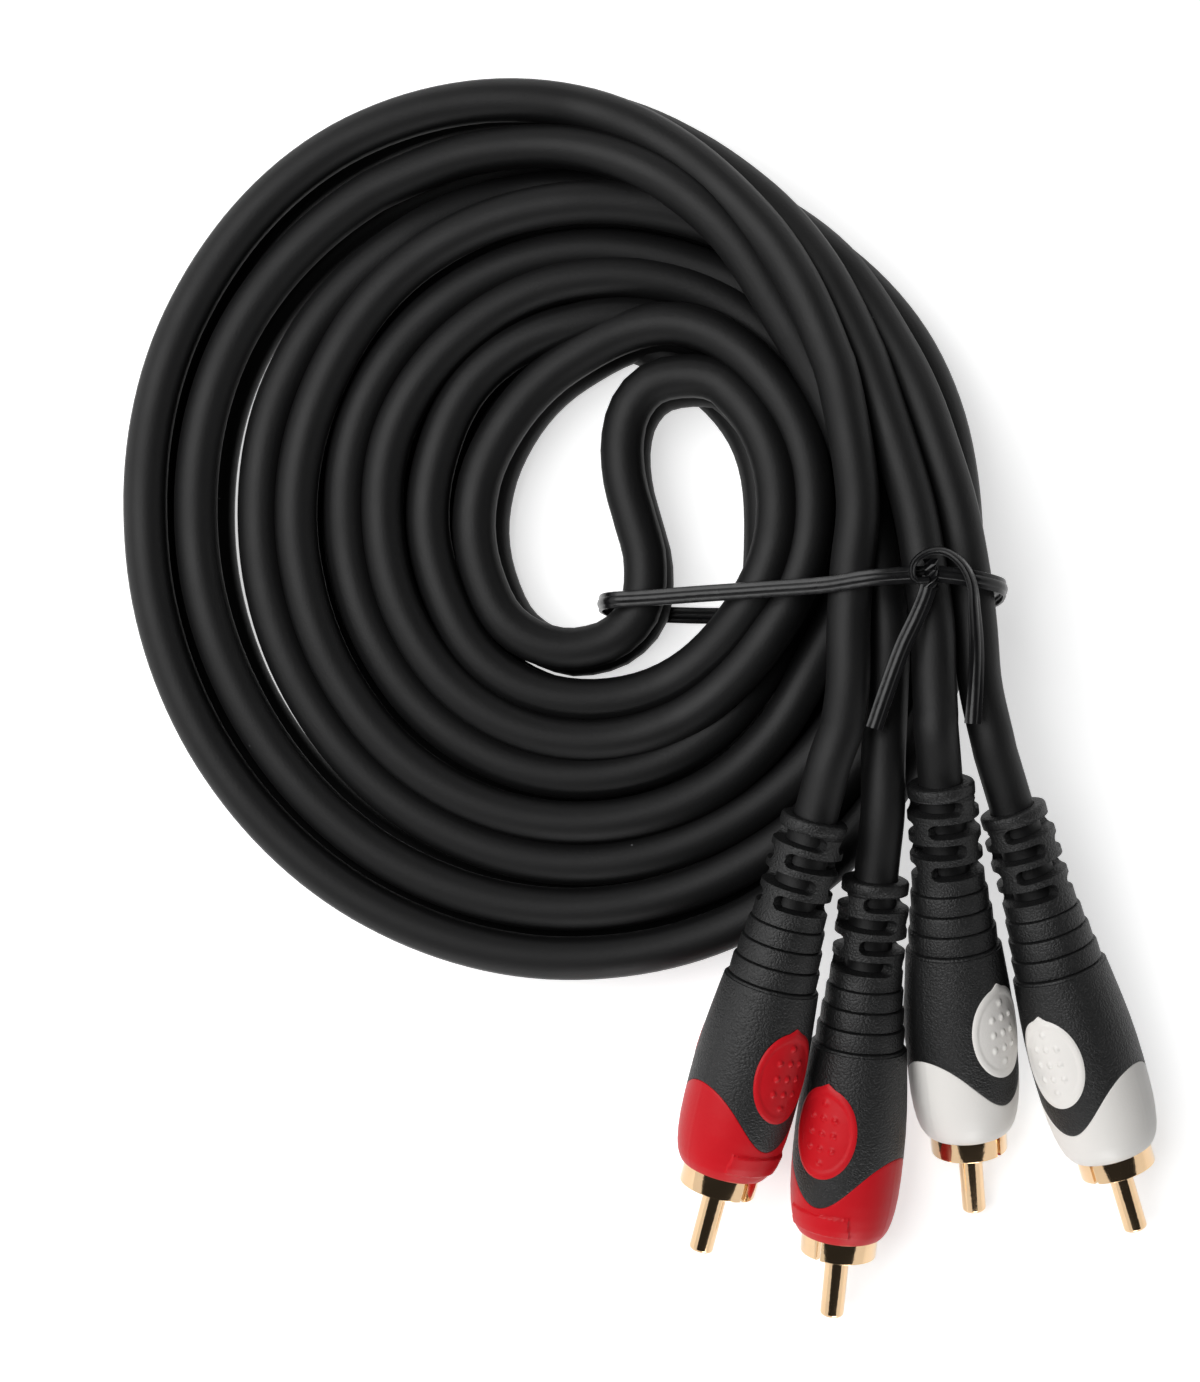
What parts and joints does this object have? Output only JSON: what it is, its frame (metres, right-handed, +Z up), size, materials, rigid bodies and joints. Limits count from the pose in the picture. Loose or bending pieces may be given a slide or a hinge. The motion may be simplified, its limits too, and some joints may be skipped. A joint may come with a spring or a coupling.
{
  "type": "rca audio cable",
  "caption": "Coiled stereo audio cable with slotted strain-relief boots, red and white collars and gold plated phono plugs, held in its coil by a twist tie.",
  "frame": {"origin": "on the underside of the coil, below the middle of its S-bend", "axes": "+Z up from the surface it lies on, -Y along the plugs, +X to the right with the plugs pointing to the viewer"},
  "size_m": [0.1382, 0.1652, 0.0275],
  "materials": {
    "cable_jacket": "matte black soft PVC jacket",
    "boot_black": "finely grained black moulded PVC",
    "collar_red": "satin red moulded plastic",
    "collar_white": "satin warm white moulded plastic",
    "gold_plate": "polished pale gold plate",
    "insulator_ivory": "plain ivory plastic",
    "tie_plastic": "glossy black plastic strip over a wire"
  },
  "bodies": {
    "root": {"coiled_cable": "cable_jacket", "twist_tie": "tie_plastic", "end_a_red_lead": "cable_jacket", "end_a_red_boot": "boot_black", "end_a_red_collar": "collar_red", "end_a_red_sleeve": "gold_plate", "end_a_red_insulator": "insulator_ivory", "end_a_red_pin": "gold_plate", "end_a_red_wire_end": "cable_jacket", "end_b_red_lead": "cable_jacket", "end_b_red_boot": "boot_black", "end_b_red_collar": "collar_red", "end_b_red_sleeve": "gold_plate", "end_b_red_insulator": "insulator_ivory", "end_b_red_pin": "gold_plate", "end_b_red_wire_end": "cable_jacket", "end_b_white_lead": "cable_jacket", "end_b_white_boot": "boot_black", "end_b_white_collar": "collar_white", "end_b_white_sleeve": "gold_plate", "end_b_white_insulator": "insulator_ivory", "end_b_white_pin": "gold_plate", "end_b_white_wire_end": "cable_jacket", "end_a_white_lead": "cable_jacket", "end_a_white_boot": "boot_black", "end_a_white_collar": "collar_white", "end_a_white_sleeve": "gold_plate", "end_a_white_insulator": "insulator_ivory", "end_a_white_pin": "gold_plate", "end_a_white_wire_end": "cable_jacket"}
  },
  "joints": []
}
